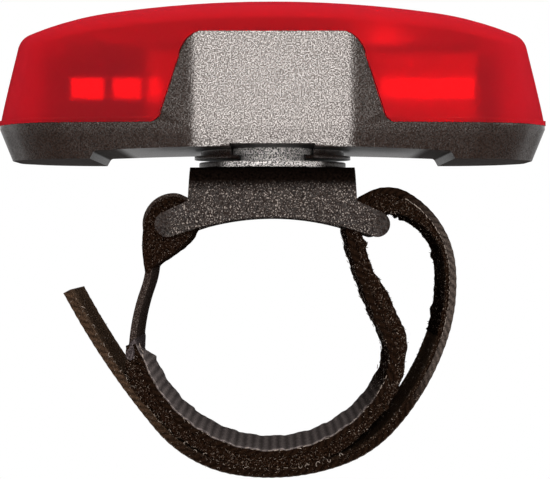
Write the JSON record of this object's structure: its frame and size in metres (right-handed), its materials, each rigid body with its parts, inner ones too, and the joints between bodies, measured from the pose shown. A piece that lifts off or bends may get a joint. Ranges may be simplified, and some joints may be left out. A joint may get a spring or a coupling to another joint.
{
  "type": "strap-mounted bicycle or helmet rear light",
  "caption": "Red rear light with a black casing on a swivelling bracket, held by a hook-and-loop strap round a tube or a helmet's vent rib.",
  "frame": {"origin": "centre of the round tube that the strap loop clasps, midway across the strap", "axes": "+X along the light's length, +Y across it, away from the picture's viewer, +Z from the strap loop up through the lens"},
  "size_m": [0.0674, 0.0329, 0.0582],
  "materials": {
    "black_plastic": "fine-grained, satin",
    "lens_red": "frosted translucent",
    "tray_plastic": "satin",
    "reflector_red": "glossy",
    "web_fabric": "woven ribs",
    "pile_fabric": "looped pile",
    "thread": "twisted",
    "steel": "plated",
    "brass_plate": "plated",
    "cell_wrap": "glossy film",
    "board": "satin",
    "led_body": "clear dome",
    "soft_rubber": "matte"
  },
  "bodies": {
    "bracket": {"strap_bracket": "black_plastic", "strap_web": "web_fabric", "loop_pile": "pile_fabric", "hook_pile": "pile_fabric", "anchor_web": "web_fabric", "seam_stitches": "thread", "wave_washer": "steel"},
    "swivel": {"turntable": "black_plastic", "pivot_screw": "steel", "pivot_washer": "steel"},
    "housing": {"rear_casing": "black_plastic", "gasket": "soft_rubber", "battery_tray": "tray_plastic", "cell_1": "cell_wrap", "cell_2": "cell_wrap", "positive_contact": "brass_plate", "negative_contact": "brass_plate", "bridge_contact": "brass_plate", "spring_1": "steel", "spring_2": "steel", "circuit_board": "board", "board_screws": "steel", "led_left": "led_body", "led_centre": "led_body", "led_right": "led_body", "side_reflectors": "reflector_red", "tactile_switch": "black_plastic"},
    "lens_shell": {"lens": "lens_red"},
    "button": {"power_button": "soft_rubber"}
  },
  "joints": [
    {"name": "light_swivel", "type": "hinge", "parent": "bracket", "child": "swivel", "pos_m": [0, 0, 0.0205], "axis": [0, 0, 1], "continuous": true},
    {"name": "release_slide", "type": "slide", "parent": "swivel", "child": "housing", "axis": [0, 1, 0], "range_m": [0, 0.016]},
    {"name": "lens_lift", "type": "slide", "parent": "housing", "child": "lens_shell", "axis": [0, 0, 1], "range_m": [0, 0.014]},
    {"name": "button_press", "type": "slide", "parent": "housing", "child": "button", "axis": [0, -1, 0], "range_m": [0, 0.0008], "stiffness_N_per_m": 600}
  ]
}
